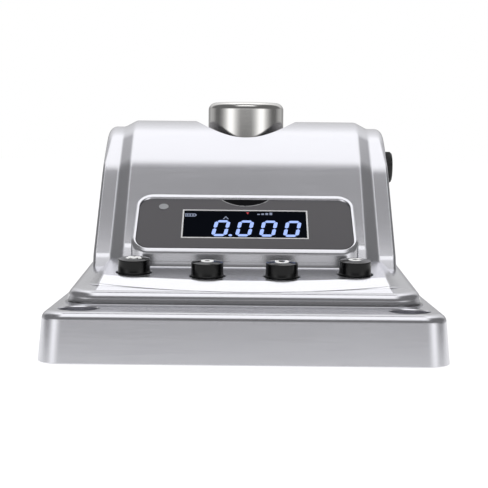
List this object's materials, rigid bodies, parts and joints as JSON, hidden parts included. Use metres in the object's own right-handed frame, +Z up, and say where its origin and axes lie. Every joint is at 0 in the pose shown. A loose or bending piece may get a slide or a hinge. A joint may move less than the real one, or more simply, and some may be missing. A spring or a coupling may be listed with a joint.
{
  "type": "digital torque tester",
  "caption": "Bench torque tester: cast base and sloped housing with a display, push-buttons, a side zero knob and a socketed measuring post.",
  "frame": {"origin": "under the middle of the base flange, on the bench", "axes": "+X to the user's right, +Y to the back, +Z up"},
  "size_m": [0.1412, 0.21, 0.0937],
  "materials": {
    "cast_paint": "satin silver paint",
    "screw_steel": "blackened",
    "plated_steel": "plated",
    "turned_steel": "polished",
    "cell_alloy": "machined",
    "panel_sheet": "satin",
    "lens_glass": "gloss",
    "white_plastic": "satin",
    "lamp_plastic": "frosted",
    "gloss_black": "gloss",
    "knob_black": "fine grain",
    "black_plastic": "moulded",
    "board_green": "solder mask",
    "brass_part": "turned",
    "cell_sleeve": "shrink sleeve",
    "gauge_film": "film",
    "ribbon_grey": "satin"
  },
  "bodies": {
    "body": {"base_casting": "cast_paint", "upper_housing": "cast_paint", "housing_screws": "screw_steel", "display_panel": "panel_sheet", "lcd_frame": "white_plastic", "lcd_lens": "lens_glass", "lcd_module": "black_plastic", "display_board": "board_green", "display_board_screws": "plated_steel", "status_lamp": "lamp_plastic", "tact_switches": "black_plastic", "button_board": "board_green", "button_board_screws": "plated_steel", "main_board": "board_green", "board_components": "black_plastic", "board_standoffs": "brass_part", "board_screws": "plated_steel", "battery_cradle": "black_plastic", "battery_cells": "cell_sleeve", "battery_strap": "plated_steel", "strap_screws": "plated_steel", "measuring_post": "turned_steel", "torque_cell": "cell_alloy", "strain_gauges": "gauge_film", "cell_screws": "screw_steel", "post_set_screws": "screw_steel", "potentiometer": "black_plastic", "potentiometer_nut": "plated_steel", "charge_jack": "gloss_black", "charge_jack_nut": "plated_steel", "data_port": "plated_steel", "port_board": "board_green", "port_standoffs": "brass_part", "port_screws": "plated_steel", "display_ribbon": "ribbon_grey", "button_ribbon": "ribbon_grey"},
    "mode_key": {"mode_button": "gloss_black", "mode_plunger": "white_plastic"},
    "power_key": {"power_button": "gloss_black", "power_plunger": "white_plastic"},
    "unit_key": {"unit_button": "gloss_black", "unit_plunger": "white_plastic"},
    "clear_key": {"clear_button": "gloss_black", "clear_plunger": "white_plastic"},
    "knob": {"zero_knob": "knob_black", "knob_shaft": "turned_steel"}
  },
  "joints": [
    {"name": "mode_press", "type": "slide", "parent": "body", "child": "mode_key", "axis": [0, 0.1115, -0.9938], "range_m": [0, 0.0008], "stiffness_N_per_m": 1500, "springref_m": -0.0004},
    {"name": "power_press", "type": "slide", "parent": "body", "child": "power_key", "axis": [0, 0.1115, -0.9938], "range_m": [0, 0.0008], "stiffness_N_per_m": 1500, "springref_m": -0.0004},
    {"name": "unit_press", "type": "slide", "parent": "body", "child": "unit_key", "axis": [0, 0.1115, -0.9938], "range_m": [0, 0.0008], "stiffness_N_per_m": 1500, "springref_m": -0.0004},
    {"name": "clear_press", "type": "slide", "parent": "body", "child": "clear_key", "axis": [0, 0.1115, -0.9938], "range_m": [0, 0.0008], "stiffness_N_per_m": 1500, "springref_m": -0.0004},
    {"name": "knob_turn", "type": "hinge", "parent": "body", "child": "knob", "pos_m": [0.0606, 0.032, 0.0657], "axis": [1, 0, 0], "range_deg": [-140, 140]}
  ]
}
